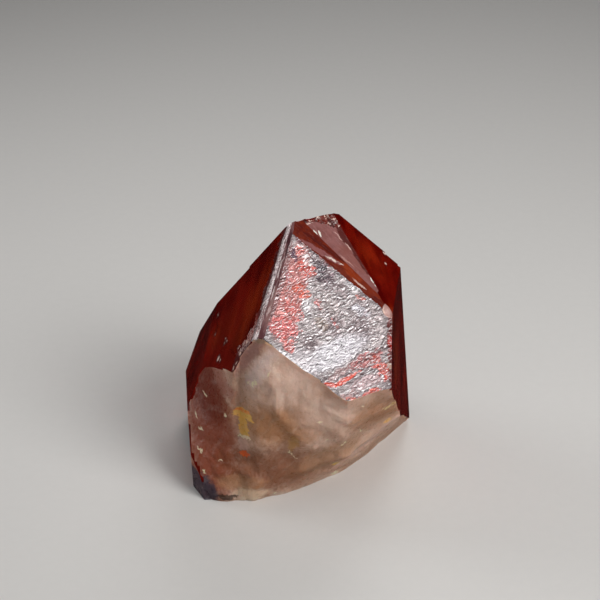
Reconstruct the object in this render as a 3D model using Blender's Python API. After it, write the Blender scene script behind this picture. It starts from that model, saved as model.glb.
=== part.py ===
"""Quartz specimen: one crystal that grew as one piece, with a broken lower front and a flat foot."""
import math

import bmesh
import bpy
from mathutils import Matrix, Vector, noise

# Lengths below are millimetres, turned into metres when the meshes are made
MM = 0.001

# The crystal stands on its foot with its long axis leaning this far to the left
AXIS_LEAN_DEG = 5.5
# Height on the long axis that the face distances are measured from
AXIS_POINT_HEIGHT = 22.0
# Side of the block that the faces are cut from
BLOCK_SIDE = 120.0
# Move of everything that puts the origin under the middle of the crystal
ORIGIN_MOVE = (-0.165, -0.815, 0.0)

# Each crystal face: compass angle seen from above (0 is the front, 90 the right side),
# slope from level, and distance from the axis point
TIP_FACES = {
    "front": (27.8, 54.3, 16.60),
    "left": (-81.3, 55.8, 10.18),
    "left_band_outer": (-56.7, 44.7, 14.76),
    "left_band_inner": (-20.8, 40.6, 17.71),
    "strip": (35.5, 50.8, 17.60),
    "lens": (44.4, 48.4, 18.48),
    "right": (84.3, 57.2, 19.56),
    "back_ridge": (209.8, 50.8, 11.10),
    "back_right": (145.0, 53.2, 18.92),
    "back_left": (-155.3, 44.5, 13.08),
    "left_shoulder": (-88.1, 64.1, 11.14),
    "left_shoulder_low": (-93.8, 72.4, 14.61),
}
SIDE_FACES = {
    "side_front": (26.0, 90.0, 25.00),
    "side_right": (82.6, 90.8, 18.45),
    "side_back_right": (146.5, 90.1, 18.06),
    "side_back": (206.0, 90.0, 17.00),
    "side_left": (-85.0, 86.8, 16.51),
    "side_front_left": (-34.0, 90.0, 21.50),
    "left_rim": (-62.0, 87.1, 18.73),
}

# The break across the lower front, as lines that run from its top edge to the foot,
# from left to right, each with how far its middle swells forward
BREAK_LINES = (
    ((-26.0, 8.0, 14.0), (-24.0, -6.0, 0.0), 2.0),
    ((-18.0, 2.0, 16.0), (-16.5, -12.5, 0.0), 3.6),
    ((-15.9, -0.8, 18.2), (-15.2, -13.9, 0.0), 3.4),
    ((-13.2, -6.7, 21.4), (-13.2, -14.2, 0.0), 2.0),
    ((-11.2, -11.4, 23.7), (-11.5, -14.3, 0.0), 0.8),
    ((-9.8, -15.3, 25.3), (-10.3, -14.3, 0.0), -0.4),
    ((-8.7, -14.7, 27.4), (-9.2, -14.3, 0.0), 0.2),
    ((-7.4, -15.0, 29.6), (-8.0, -14.2, 0.0), 1.0),
    ((-5.6, -15.8, 31.5), (-6.6, -14.0, 0.0), 1.5),
    ((-3.5, -16.3, 30.4), (-4.5, -13.4, 0.0), 1.8),
    ((-1.3, -16.9, 28.7), (-2.0, -12.6, 0.0), 2.0),
    ((1.3, -17.5, 26.7), (0.5, -11.3, 0.0), 2.0),
    ((3.5, -17.7, 25.2), (3.3, -9.3, 0.0), 2.0),
    ((5.8, -18.2, 23.5), (5.8, -7.6, 0.0), 2.0),
    ((8.0, -18.5, 22.0), (8.2, -5.6, 0.0), 1.8),
    ((11.5, -16.6, 22.3), (11.4, -2.0, 0.0), 1.4),
    ((14.9, -15.2, 22.3), (14.5, 2.6, 0.0), 1.0),
    ((19.0, -12.5, 21.5), (19.0, 8.7, 0.0), 0.8),
    ((27.0, -6.0, 21.0), (27.0, 17.0, 0.0), 0.5),
)
BREAK_COLUMNS = 66
BREAK_ROWS = 34
# How far past the foot the break's cutter goes, as a share of its height
BREAK_OVERRUN = 1.12

# Lumps and hollows of the break: place across, height, reach across, reach up, swell forward
BREAK_LUMPS = (
    (-4.0, 24.0, 4.5, 6.0, 0.7),
    (3.5, 15.0, 5.0, 5.0, 0.8),
    (10.5, 17.5, 4.0, 3.0, 0.7),
    (-12.5, 3.2, 4.0, 2.2, 1.0),
    (-5.5, 4.0, 3.5, 2.6, 0.8),
    (-13.0, 12.0, 3.2, 4.5, -1.3),
    (-1.5, 11.5, 1.8, 3.6, -0.6),
    (-6.0, 12.0, 2.4, 3.0, 0.5),
)
# Ridges and grooves of the break: two ends as across and height, reach, swell forward
BREAK_RIDGES = (
    ((-9.6, 24.0), (-8.0, 9.0), 1.5, -0.9),
    ((-12.5, 5.4), (-8.0, 6.4), 0.8, 0.6),
    ((0.0, 5.2), (8.0, 7.2), 1.2, 0.7),
    ((8.0, 7.2), (17.0, 10.2), 1.2, 0.8),
    ((-1.0, 15.5), (2.6, 11.2), 0.7, 0.5),
    ((6.0, 20.0), (15.0, 17.0), 1.3, -0.5),
    ((-4.0, 27.0), (-2.5, 18.0), 0.9, 0.4),
)
BREAK_ROUGHNESS = 0.40

# Bites out of the crest, the shoulders and the foot: middle of the ball and its radius
CHIPS = {
    "crest_left": ((0.5, -1.9, 45.8), 1.6),
    "crest_middle": ((2.6, -1.4, 45.2), 1.5),
    "crest_right": ((5.9, 0.9, 44.9), 1.4),
    "front_corner": ((15.0, -8.0, 32.2), 1.8),
    "right_shoulder": ((17.7, 8.6, 31.5), 1.5),
    "left_notch": ((-9.9, -16.4, 26.2), 1.6),
    "foot_back": ((-4.0, 24.5, -2.0), 9.0),
    "foot_right": ((23.5, 12.5, -1.5), 6.0),
    "foot_left": ((-21.8, 4.0, -3.0), 7.0),
}

# Growth steps on the flat faces: face it lies on, place on the step's edge,
# way the step runs off to, and depth
GROWTH_STEPS = (
    ("front", (7.6, -15.6, 25.9), (0.45, -0.50, -0.74), 0.22),
    ("front", (11.6, -15.4, 24.0), (0.30, -0.52, -0.80), 0.20),
    ("front", (13.8, -10.5, 28.5), (0.92, -0.20, -0.34), 0.18),
    ("left", (-10.5, -9.0, 26.0), (-0.70, -0.30, -0.65), 0.22),
    ("right", (15.0, 3.0, 32.0), (0.45, -0.30, -0.84), 0.22),
    ("back_ridge", (-5.0, 8.0, 36.0), (-0.35, 0.45, -0.82), 0.30),
    ("back_ridge", (-7.0, 14.0, 30.0), (-0.55, 0.35, -0.76), 0.30),
    ("back_right", (9.0, 12.0, 33.0), (0.45, 0.35, -0.82), 0.30),
)

STEP_LENGTH = 26.0
STEP_WIDTH = 60.0
STEP_HEADROOM = 4.0

PARTS = "quartz_specimen"
CUTTERS = "cutters"


def start_empty():
    """Remove what is in the file and make the two collections."""
    for item in list(bpy.data.objects):
        bpy.data.objects.remove(item)
    for name in (PARTS, CUTTERS):
        folder = bpy.data.collections.new(name)
        bpy.context.scene.collection.children.link(folder)


def lean_matrix():
    """The turn that leans the long axis to the left."""
    return Matrix.Rotation(math.radians(-AXIS_LEAN_DEG), 3, "Y")


def face_normal(compass_deg, slope_deg):
    """Outward direction of a crystal face after the lean."""
    compass = math.radians(compass_deg)
    slope = math.radians(slope_deg)
    level = math.sin(slope)
    upright = Vector((level * math.sin(compass), -level * math.cos(compass), math.cos(slope)))
    return lean_matrix() @ upright


def face_place(compass_deg, slope_deg, distance):
    """A point on a crystal face, in millimetres."""
    axis_point = lean_matrix() @ Vector((0.0, 0.0, AXIS_POINT_HEIGHT))
    return axis_point + face_normal(compass_deg, slope_deg) * distance


def cut_flat(mesh, place, normal):
    """Cut away all that lies beyond one plane and close the cut with a flat face."""
    everything = mesh.verts[:] + mesh.edges[:] + mesh.faces[:]
    cut = bmesh.ops.bisect_plane(
        mesh, geom=everything, dist=1e-7, plane_co=place * MM, plane_no=normal, clear_outer=True
    )
    rim = [item for item in cut["geom_cut"] if isinstance(item, bmesh.types.BMEdge)]
    if rim:
        bmesh.ops.edgeloop_fill(mesh, edges=rim)


def crystal_block():
    """The whole crystal with all its flat faces and its flat foot, before the break."""
    mesh = bmesh.new()
    bmesh.ops.create_cube(mesh, size=BLOCK_SIDE * MM)
    faces = dict(SIDE_FACES)
    faces.update(TIP_FACES)
    for compass, slope, distance in faces.values():
        cut_flat(mesh, face_place(compass, slope, distance), face_normal(compass, slope))
    cut_flat(mesh, Vector((0.0, 0.0, 0.0)), Vector((0.0, 0.0, -1.0)))
    bmesh.ops.recalc_face_normals(mesh, faces=mesh.faces[:])
    return add_object("quartz_crystal", mesh, PARTS)


def add_object(name, mesh, folder):
    """Turn a working mesh into an object in one of the two collections."""
    mesh.transform(Matrix.Translation(Vector(ORIGIN_MOVE) * MM))
    data = bpy.data.meshes.new(name)
    mesh.to_mesh(data)
    mesh.free()
    item = bpy.data.objects.new(name, data)
    bpy.data.collections[folder].objects.link(item)
    if folder == CUTTERS:
        item.hide_render = True
        item.display_type = "WIRE"
    return item


def take_away(part, cutter):
    """Subtract a cutter from a part and keep the result."""
    cut = part.modifiers.new("cut_" + cutter.name, "BOOLEAN")
    cut.operation = "DIFFERENCE"
    cut.solver = "EXACT"
    cut.object = cutter


def break_line(across):
    """Top, foot and swell of the break at a place across it, from 0 at the left to 1."""
    last = len(BREAK_LINES) - 1
    step = min(int(across * last), last - 1)
    share = across * last - step
    left_top, left_foot, left_swell = BREAK_LINES[step]
    right_top, right_foot, right_swell = BREAK_LINES[step + 1]
    top = Vector(left_top).lerp(Vector(right_top), share)
    foot = Vector(left_foot).lerp(Vector(right_foot), share)
    return top, foot, left_swell + (right_swell - left_swell) * share


def distance_to_line(place, start, end):
    """How far a place on the break's front view lies from a short straight line."""
    run_x = end[0] - start[0]
    run_z = end[1] - start[1]
    share = ((place[0] - start[0]) * run_x + (place[1] - start[1]) * run_z) / (run_x ** 2 + run_z ** 2)
    share = max(0.0, min(1.0, share))
    return math.hypot(place[0] - start[0] - share * run_x, place[1] - start[1] - share * run_z)


def break_relief(place):
    """How far lumps, ridges and ripples swell the break forward at a place."""
    forward = 0.0
    for lump_x, lump_z, reach_x, reach_z, height in BREAK_LUMPS:
        gap_x = (place.x - lump_x) / reach_x
        gap_z = (place.z - lump_z) / reach_z
        forward += height * math.exp(-gap_x * gap_x - gap_z * gap_z)
    for start, end, reach, height in BREAK_RIDGES:
        gap = distance_to_line((place.x, place.z), start, end) / reach
        forward += height * math.exp(-gap * gap)
    shell = Vector((place.x * 0.22, 3.0, place.z * 0.22))
    ripple = abs(noise.noise(shell)) + 0.5 * abs(noise.noise(shell * 2.3))
    return forward + BREAK_ROUGHNESS * (2.0 * ripple - 0.6)


def break_point(across, down):
    """A point of the broken surface; down is 0 at its top edge and 1 at the foot."""
    top, foot, swell = break_line(across)
    if down < 0.0:
        place = top + Vector((0.0, down * 6.0, -down * 30.0))
    else:
        place = top + (foot - top) * down
    forward = swell * math.sin(math.pi * min(1.0, max(0.0, down)))
    forward += break_relief(place) * min(1.0, 0.25 + 4.0 * max(0.0, down))
    return place + Vector((0.0, -forward, 0.0))


def break_cutter():
    """The material missing in front of the break, as one closed body."""
    mesh = bmesh.new()
    sheet = []
    downs = [-0.25] + [BREAK_OVERRUN * row / BREAK_ROWS for row in range(BREAK_ROWS + 1)]
    for column in range(BREAK_COLUMNS + 1):
        across = column / BREAK_COLUMNS
        sheet.append([mesh.verts.new(break_point(across, down) * MM) for down in downs])
    for left, right in zip(sheet, sheet[1:]):
        for upper in range(len(downs) - 1):
            mesh.faces.new((left[upper], left[upper + 1], right[upper + 1], right[upper]))
    moved = bmesh.ops.extrude_face_region(mesh, geom=mesh.faces[:])
    for item in moved["geom"]:
        if isinstance(item, bmesh.types.BMVert):
            item.co.y = -60.0 * MM
    bmesh.ops.triangulate(mesh, faces=mesh.faces[:])
    bmesh.ops.recalc_face_normals(mesh, faces=mesh.faces[:])
    return add_object("break_front", mesh, CUTTERS)


def chip_cutter(name, middle, radius):
    """A ball that bites a small shell-shaped chip."""
    mesh = bmesh.new()
    detail = 3 if radius > 3.0 else 2
    bmesh.ops.create_icosphere(mesh, subdivisions=detail, radius=radius * MM)
    turn = Matrix.Rotation(radius, 3, Vector((0.3, 0.5, 0.8)).normalized())
    for vert in mesh.verts:
        vert.co = turn @ vert.co
        vert.co *= 1.0 + 0.10 * noise.noise(vert.co / (radius * MM) * 1.7)
        vert.co += Vector(middle) * MM
    return add_object("chip_" + name, mesh, CUTTERS)


def step_cutter(number, face, place, runs_to, depth):
    """A thin slab that takes one growth step off a flat face."""
    normal = face_normal(*TIP_FACES[face][:2])
    along = Vector(runs_to)
    along = (along - normal * along.dot(normal)).normalized()
    side = normal.cross(along)
    start = Vector(place)
    start -= normal * (start - face_place(*TIP_FACES[face])).dot(normal)
    slab = bmesh.new()
    bmesh.ops.create_cube(slab, size=1.0)
    for vert in slab.verts:
        forward = (vert.co.x + 0.5) * STEP_LENGTH
        sideways = vert.co.y * STEP_WIDTH
        upward = STEP_HEADROOM if vert.co.z > 0.0 else -depth
        vert.co = (start + along * forward + side * sideways + normal * upward) * MM
    return add_object("step_%d_%s" % (number, face), slab, CUTTERS)


def crystal_material():
    """Clear quartz with a deep red tint."""
    look = bpy.data.materials.new("quartz")
    look.use_nodes = True
    shader = look.node_tree.nodes["Principled BSDF"]
    shader.inputs["Base Color"].default_value = (0.55, 0.16, 0.12, 1.0)
    shader.inputs["Roughness"].default_value = 0.15
    shader.inputs["IOR"].default_value = 1.544
    shader.inputs["Transmission Weight"].default_value = 0.6
    return look


def build():
    """Cut the crystal, break its front, chip it and give it its material."""
    start_empty()
    crystal = crystal_block()
    for number, (face, place, runs_to, depth) in enumerate(GROWTH_STEPS):
        take_away(crystal, step_cutter(number, face, place, runs_to, depth))
    take_away(crystal, break_cutter())
    for name, (middle, radius) in CHIPS.items():
        take_away(crystal, chip_cutter(name, middle, radius))
    crystal.data.materials.append(crystal_material())


build()
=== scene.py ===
"""A red quartz crystal with an etched front face and a milky broken foot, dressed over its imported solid."""
import logging
import math
from dataclasses import dataclass, field
from enum import Enum
from typing import Any, Callable, Mapping, Optional, Sequence, Union

import bmesh
import bpy
from mathutils import Matrix, Vector, kdtree, noise
from mathutils.geometry import intersect_point_line


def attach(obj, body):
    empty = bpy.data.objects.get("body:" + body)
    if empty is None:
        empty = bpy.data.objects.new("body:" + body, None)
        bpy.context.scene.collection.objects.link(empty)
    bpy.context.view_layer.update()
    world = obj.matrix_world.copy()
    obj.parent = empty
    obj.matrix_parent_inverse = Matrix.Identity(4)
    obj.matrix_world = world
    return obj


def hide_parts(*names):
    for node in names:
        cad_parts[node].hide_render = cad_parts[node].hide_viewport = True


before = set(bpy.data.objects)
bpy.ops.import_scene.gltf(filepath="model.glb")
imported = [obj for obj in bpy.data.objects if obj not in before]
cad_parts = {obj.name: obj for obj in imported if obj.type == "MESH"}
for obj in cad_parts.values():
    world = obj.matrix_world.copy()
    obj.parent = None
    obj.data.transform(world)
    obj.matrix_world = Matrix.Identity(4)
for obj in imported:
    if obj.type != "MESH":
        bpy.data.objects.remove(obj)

log = logging.getLogger("quartz")

NODE = "quartz_crystal"
BODY = "root"
MM = 0.001

Numbers = Sequence[float]
Triple = tuple[float, float, float]
Socket = bpy.types.NodeSocket
Node = bpy.types.Node
Feed = Union[Socket, float, Numbers]

# Socket types of the groups
NUMBER = "NodeSocketFloat"
ARROW = "NodeSocketVector"
TINT = "NodeSocketColor"

# Refractive index of quartz, and the start of the flat places of the narrow faces, in millimetres
QUARTZ_INDEX = 1.544
FLAT_START = (0.0, 0.0, 40.0)

# Least dot product of two directions that count as one, and of a level face with the upright
SAME_WAY = 0.9998
LEVEL = 0.999


class Skin(Enum):
    """The finishes of the crystal, in the order of its material slots."""

    CLEAR = 0
    FRONT = 1
    SILVER_BAND = 2
    MAUVE_BAND = 3
    ORANGE_STRIP = 4
    LENS = 5
    BREAK = 6
    CHIPS = 7
    FOOT = 8
    SPECKLED = 9


def colour(red: float, green: float, blue: float) -> tuple[float, float, float, float]:
    """Turn a screen colour from 0 to 255 into the linear colour that a shader wants.

    Args:
        red: Screen red.
        green: Screen green.
        blue: Screen blue.

    Returns:
        The linear colour with full alpha.
    """
    linear = []
    for part in (red, green, blue):
        share = part / 255.0
        linear.append(share / 12.92 if share <= 0.04045 else ((share + 0.055) / 1.055) ** 2.4)
    return (linear[0], linear[1], linear[2], 1.0)


def brighter(tint: Numbers, gain: float) -> tuple[float, float, float, float]:
    """Multiply a linear colour, short of full white."""
    parts = [min(0.92, part * gain) for part in tint[:3]]
    return (parts[0], parts[1], parts[2], 1.0)


def smooth_step(share: float) -> float:
    """Ease a share from 0 to 1 in and out."""
    share = max(0.0, min(1.0, share))
    return share * share * (3.0 - 2.0 * share)


# Faces of the crystal


@dataclass(frozen=True)
class CrystalFace:
    """One flat face of the crystal, by the angles and distance that it was cut at."""

    compass_deg: float
    slope_deg: float
    distance: float
    skin: Skin = Skin.CLEAR
    lean_deg: float = 5.5
    axis_height: float = 22.0
    moved: Triple = (-0.165, -0.815, 0.0)

    def lean(self, arrow: Vector) -> Vector:
        """Lean an upright direction to the left with the crystal's long axis."""
        turn = math.radians(self.lean_deg)
        return Vector(
            (
                arrow.x * math.cos(turn) - arrow.z * math.sin(turn),
                arrow.y,
                arrow.x * math.sin(turn) + arrow.z * math.cos(turn),
            )
        )

    def normal(self) -> Vector:
        """Outward direction of the face.

        Returns:
            The direction, one unit long.
        """
        compass = math.radians(self.compass_deg)
        slope = math.radians(self.slope_deg)
        level = math.sin(slope)
        return self.lean(Vector((level * math.sin(compass), -level * math.cos(compass), math.cos(slope))))

    def height_over(self, place: Vector) -> float:
        """How far a place, in millimetres, lies outside the face's plane."""
        start = self.lean(Vector((0.0, 0.0, self.axis_height))) + Vector(self.moved)
        return (place - start).dot(self.normal()) - self.distance

    def across(self) -> Vector:
        """The level direction in the face, towards its right seen from outside."""
        normal = self.normal()
        return Vector((-normal.y, normal.x, 0.0)).normalized()

    def upward(self) -> Vector:
        """The steepest direction in the face."""
        return self.normal().cross(self.across())


FACES: dict[str, CrystalFace] = {
    "front": CrystalFace(27.8, 54.3, 16.60, Skin.FRONT),
    "left": CrystalFace(-81.3, 55.8, 10.18),
    "left_band_outer": CrystalFace(-56.7, 44.7, 14.76, Skin.SILVER_BAND),
    "left_band_inner": CrystalFace(-20.8, 40.6, 17.71, Skin.MAUVE_BAND),
    "strip": CrystalFace(35.5, 50.8, 17.60, Skin.ORANGE_STRIP),
    "lens": CrystalFace(44.4, 48.4, 18.48, Skin.LENS),
    "right": CrystalFace(84.3, 57.2, 19.56),
    "back_ridge": CrystalFace(209.8, 50.8, 11.10),
    "back_right": CrystalFace(145.0, 53.2, 18.92),
    "back_left": CrystalFace(-155.3, 44.5, 13.08),
    "left_shoulder": CrystalFace(-88.1, 64.1, 11.14),
    "left_shoulder_low": CrystalFace(-93.8, 72.4, 14.61),
    "side_right": CrystalFace(82.6, 90.8, 18.45),
    "side_back_right": CrystalFace(146.5, 90.1, 18.06),
    "side_back": CrystalFace(206.0, 90.0, 17.00),
    "side_left": CrystalFace(-85.0, 86.8, 16.51),
    "left_rim": CrystalFace(-62.0, 87.1, 18.73),
}

# Middles and radii of the bites on the crest and the shoulders
CHIP_BALLS: tuple[tuple[Triple, float], ...] = (
    ((0.335, -2.715, 45.8), 1.6),
    ((2.435, -2.215, 45.2), 1.5),
    ((5.735, 0.085, 44.9), 1.4),
    ((14.835, -8.815, 32.2), 1.8),
    ((17.535, 7.785, 31.5), 1.5),
)

# Middles and radii of the lone bright specks
SPECKS: tuple[tuple[Triple, float], ...] = (
    ((-13.0, 2.2, 24.4), 0.18), ((-13.6, -0.8, 22.6), 0.16), ((-11.4, -6.7, 25.1), 0.3),
    ((-11.9, -5.6, 24.9), 0.2), ((-11.7, -6.3, 24.3), 0.17), ((-12.8, -7.6, 22.3), 0.5),
    ((-12.5, -8.6, 22.6), 0.3), ((-10.1, -15.1, 25.2), 0.35), ((-9.6, -15.0, 26.1), 0.3),
    ((-9.2, -13.0, 27.5), 0.25), ((-8.8, -14.8, 27.6), 0.4), ((-8.3, -13.9, 28.8), 0.3),
    ((-7.8, -14.6, 29.6), 0.4), ((13.9, 5.9, 33.9), 0.25), ((14.2, 3.3, 33.3), 0.2),
    ((15.3, -7.3, 32.4), 0.6),
)


# Nodes


class NodeSheet:
    """Places and joins the nodes of one material or one group."""

    def __init__(self, tree: bpy.types.NodeTree) -> None:
        """Work on one node tree."""
        self.tree = tree

    def node(self, kind: str, feeds: Optional[Mapping[Union[str, int], Feed]] = None, **settings: Any) -> Node:
        """Add a node, set its options and feed its inputs.

        Args:
            kind: Blender's name of the node type.
            feeds: Source of each input, by its name or number.
            settings: Options of the node by name.

        Returns:
            The new node.
        """
        node = self.tree.nodes.new(kind)
        for name, setting in settings.items():
            setattr(node, name, setting)
        for name, source in (feeds or {}).items():
            self.feed(node.inputs[name], source)
        return node

    def feed(self, target: Socket, source: Feed) -> None:
        """Join a socket to its source, or set it where the source is a plain number or colour.

        Args:
            target: The input.
            source: A socket, number, vector or colour.
        """
        if isinstance(source, bpy.types.NodeSocket):
            self.tree.links.new(source, target)
        else:
            target.default_value = source

    def sum(self, operation: str, first: Feed, second: Feed = 0.0, third: Feed = 0.0) -> Socket:
        """One step of arithmetic, by Blender's name of the operation."""
        return self.node("ShaderNodeMath", {0: first, 1: second, 2: third}, operation=operation).outputs[0]

    def arrow(self, operation: str, first: Feed, second: Feed = (0.0, 0.0, 0.0)) -> Socket:
        """One step of arithmetic on vectors; a dot product or a length comes out as a number."""
        node = self.node("ShaderNodeVectorMath", {0: first, 1: second}, operation=operation)
        return node.outputs["Value" if operation in ("DOT_PRODUCT", "LENGTH") else "Vector"]

    def scale(self, first: Feed, factor: Feed) -> Socket:
        """Multiply a vector or a colour by a number."""
        return self.node("ShaderNodeVectorMath", {0: first, "Scale": factor}, operation="SCALE").outputs[0]

    def turned(self, flat: Feed, turn: Feed) -> Socket:
        """Turn a flat place back by an angle."""
        feeds = {"Vector": flat, "Angle": self.sum("MULTIPLY", turn, -1.0)}
        return self.node("ShaderNodeVectorRotate", feeds, rotation_type="Z_AXIS").outputs[0]

    def ease(self, source: Feed, start: Feed, end: Feed, low: Feed = 0.0, high: Feed = 1.0) -> Socket:
        """Ease a number from the range between start and end to the one between low and high."""
        feeds = dict(enumerate((source, start, end, low, high)))
        return self.node("ShaderNodeMapRange", feeds, interpolation_type="SMOOTHSTEP").outputs["Result"]

    def mix(self, share: Feed, first: Feed, second: Feed) -> Socket:
        """Mix two colours, with the share of the second."""
        return self.node("ShaderNodeMix", {0: share, 6: first, 7: second}, data_type="RGBA").outputs[2]

    def noise(
        self, place: Feed, scale: float, detail: float = 2.0, rough: float = 0.5, bend: float = 0.0
    ) -> Socket:
        """Soft uneven values round a half, with so many lumps in a millimetre."""
        feeds = {"Vector": place, "Scale": scale, "Detail": detail, "Roughness": rough, "Distortion": bend}
        return self.node("ShaderNodeTexNoise", feeds).outputs["Fac"]

    def use(self, group: bpy.types.NodeTree, **feeds: Feed) -> Node:
        """Place a node group and feed its inputs by name."""
        return self.node("ShaderNodeGroup", feeds, node_tree=group)

    def place(self) -> Socket:
        """Where a point of the piece lies, in millimetres."""
        return self.scale(self.node("ShaderNodeTexCoord").outputs["Object"], 1.0 / MM)


def start_group(
    name: str, inputs: Mapping[str, str], outputs: Mapping[str, str]
) -> tuple[bpy.types.NodeTree, NodeSheet, list[Socket]]:
    """Begin a node group.

    Args:
        name: The group's name.
        inputs: Socket type of each input by name.
        outputs: Socket type of each output by name.

    Returns:
        The group, its sheet and the sockets that bring its inputs.
    """
    group = bpy.data.node_groups.new(name, "ShaderNodeTree")
    for way, sockets in (("INPUT", inputs), ("OUTPUT", outputs)):
        for socket_name, kind in sockets.items():
            group.interface.new_socket(name=socket_name, in_out=way, socket_type=kind)
    sheet = NodeSheet(group)
    return group, sheet, list(sheet.node("NodeGroupInput").outputs)[: len(inputs)]


class Effects:
    """The shader groups that the finishes share."""

    def __init__(self) -> None:
        """Build each group once."""
        self.flatten = self.build_flatten()
        self.patch = self.build_patch()
        self.etch = self.build_etch()
        self.cloud = self.build_cloud()

    def build_flatten(self) -> bpy.types.NodeTree:
        """Turn a place into a flat place: how far across and how far up a face, with ragged edges.

        Returns:
            The group.
        """
        group, sheet, (place, start, across, up, ragged) = start_group(
            "flat_place",
            {"Place": ARROW, "Start": ARROW, "Across": ARROW, "Up": ARROW, "Ragged": NUMBER},
            {"Flat": ARROW, "Ragged Flat": ARROW},
        )
        gap = sheet.arrow("SUBTRACT", place, start)
        right = sheet.arrow("DOT_PRODUCT", gap, across)
        upward = sheet.arrow("DOT_PRODUCT", gap, up)
        flat = sheet.node("ShaderNodeCombineXYZ", {"X": right, "Y": upward}).outputs[0]
        feeds = {"Vector": flat, "Scale": 0.9, "Detail": 4.0, "Roughness": 0.65}
        wobble = sheet.node("ShaderNodeTexNoise", feeds, noise_dimensions="2D")
        centred = sheet.arrow("SUBTRACT", wobble.outputs["Color"], (0.5, 0.5, 0.5))
        pushed = sheet.arrow("ADD", flat, sheet.scale(centred, ragged))
        sheet.node("NodeGroupOutput", {"Flat": flat, "Ragged Flat": pushed})
        return group

    def build_patch(self) -> bpy.types.NodeTree:
        """Mark an oval patch or a stripe on a flat place.

        Returns:
            The group.
        """
        group, sheet, (flat, middle, reach, turn, soft) = start_group(
            "patch",
            {"Flat": ARROW, "Middle": ARROW, "Reach": ARROW, "Turn": NUMBER, "Soft": NUMBER},
            {"Mask": NUMBER},
        )
        gap = sheet.turned(sheet.arrow("SUBTRACT", flat, middle), turn)
        level = sheet.arrow("MULTIPLY", sheet.arrow("DIVIDE", gap, reach), (1.0, 1.0, 0.0))
        inner = sheet.sum("SUBTRACT", 1.0, soft)
        mask = sheet.ease(sheet.arrow("LENGTH", level), inner, sheet.sum("ADD", 1.0, soft), 1.0, 0.0)
        sheet.node("NodeGroupOutput", {"Mask": mask})
        return group

    def build_etch(self) -> bpy.types.NodeTree:
        """The streaky relief of an etched face, with painted glints and painted shade drawn from its slope.

        Returns:
            The group.
        """
        group, sheet, (flat, turn, stretch, pitch) = start_group(
            "etched_relief",
            {"Flat": ARROW, "Turn": NUMBER, "Stretch": NUMBER, "Pitch": NUMBER},
            {"Height": NUMBER, "Painted Glints": NUMBER, "Painted Shade": NUMBER, "Grain": NUMBER},
        )
        parts = sheet.node("ShaderNodeSeparateXYZ", {0: sheet.turned(flat, turn)}).outputs
        long_way = sheet.sum("MULTIPLY", sheet.sum("DIVIDE", parts["X"], stretch), pitch)
        short_way = sheet.sum("MULTIPLY", parts["Y"], pitch)
        streak = sheet.node("ShaderNodeCombineXYZ", {"X": long_way, "Y": short_way}).outputs[0]
        ridges = sheet.noise(streak, 1.0, 4.0, 0.62, 0.5)
        lower = sheet.noise(sheet.arrow("ADD", streak, (0.08, 0.34, 0.0)), 1.0, 4.0, 0.62, 0.5)
        slope = sheet.sum("SUBTRACT", ridges, lower)
        sharp = sheet.sum("ABSOLUTE", sheet.sum("SUBTRACT", ridges, 0.5))
        crest = sheet.sum("SUBTRACT", 1.0, sheet.sum("MULTIPLY", sharp, 5.0))
        height = sheet.sum("ADD", sheet.sum("MULTIPLY", crest, 0.15), sheet.sum("MULTIPLY", ridges, 2.4))
        feeds = {
            "Height": height,
            # Painted glints where a ripple slopes one way and painted shade where it slopes the other, as if
            # one lamp lit the ripples from the side.
            "Painted Glints": sheet.ease(slope, 0.05, 0.13),
            "Painted Shade": sheet.ease(slope, -0.05, -0.14),
            "Grain": sheet.noise(streak, 0.62, 3.0, 0.7, 0.5),
        }
        sheet.node("NodeGroupOutput", feeds)
        return group

    def build_cloud(self) -> bpy.types.NodeTree:
        """Cloudy change between two colours with fine grain in it.

        Returns:
            The group.
        """
        group, sheet, (place, first, second, size, grain) = start_group(
            "cloudy_stone",
            {"Place": ARROW, "First": TINT, "Second": TINT, "Size": NUMBER, "Grain": NUMBER},
            {"Color": TINT, "Fine": NUMBER},
        )
        large = sheet.scale(place, sheet.sum("DIVIDE", 1.0, size))
        cloud = sheet.ease(sheet.noise(large, 1.0, 4.0, 0.55, 0.8), 0.36, 0.64)
        fine = sheet.noise(place, 1.7, 5.0, 0.7, 0.4)
        centred = sheet.sum("MULTIPLY", sheet.sum("SUBTRACT", fine, 0.5), grain)
        shade = sheet.sum("ADD", 1.0, sheet.sum("MULTIPLY", centred, 4.0))
        tint = sheet.scale(sheet.mix(cloud, first, second), shade)
        sheet.node("NodeGroupOutput", {"Color": tint, "Fine": fine})
        return group


def start_material(name: str) -> tuple[bpy.types.Material, NodeSheet, Node]:
    """Begin a material and give it with its sheet and its main shader.

    Args:
        name: The material's name.

    Returns:
        The material, its sheet and its shader.
    """
    material = bpy.data.materials.new(name)
    material.use_nodes = True
    return material, NodeSheet(material.node_tree), material.node_tree.nodes["Principled BSDF"]


def add_bump(sheet: NodeSheet, shader: Node, height: Feed, depth_mm: float, strength: float = 1.0) -> None:
    """Give a shader relief from a height, whose unit is so many millimetres deep."""
    bump = sheet.node("ShaderNodeBump", {"Strength": strength, "Distance": depth_mm * MM, "Height": height})
    sheet.feed(shader.inputs["Normal"], bump.outputs["Normal"])


# Finishes


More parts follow.
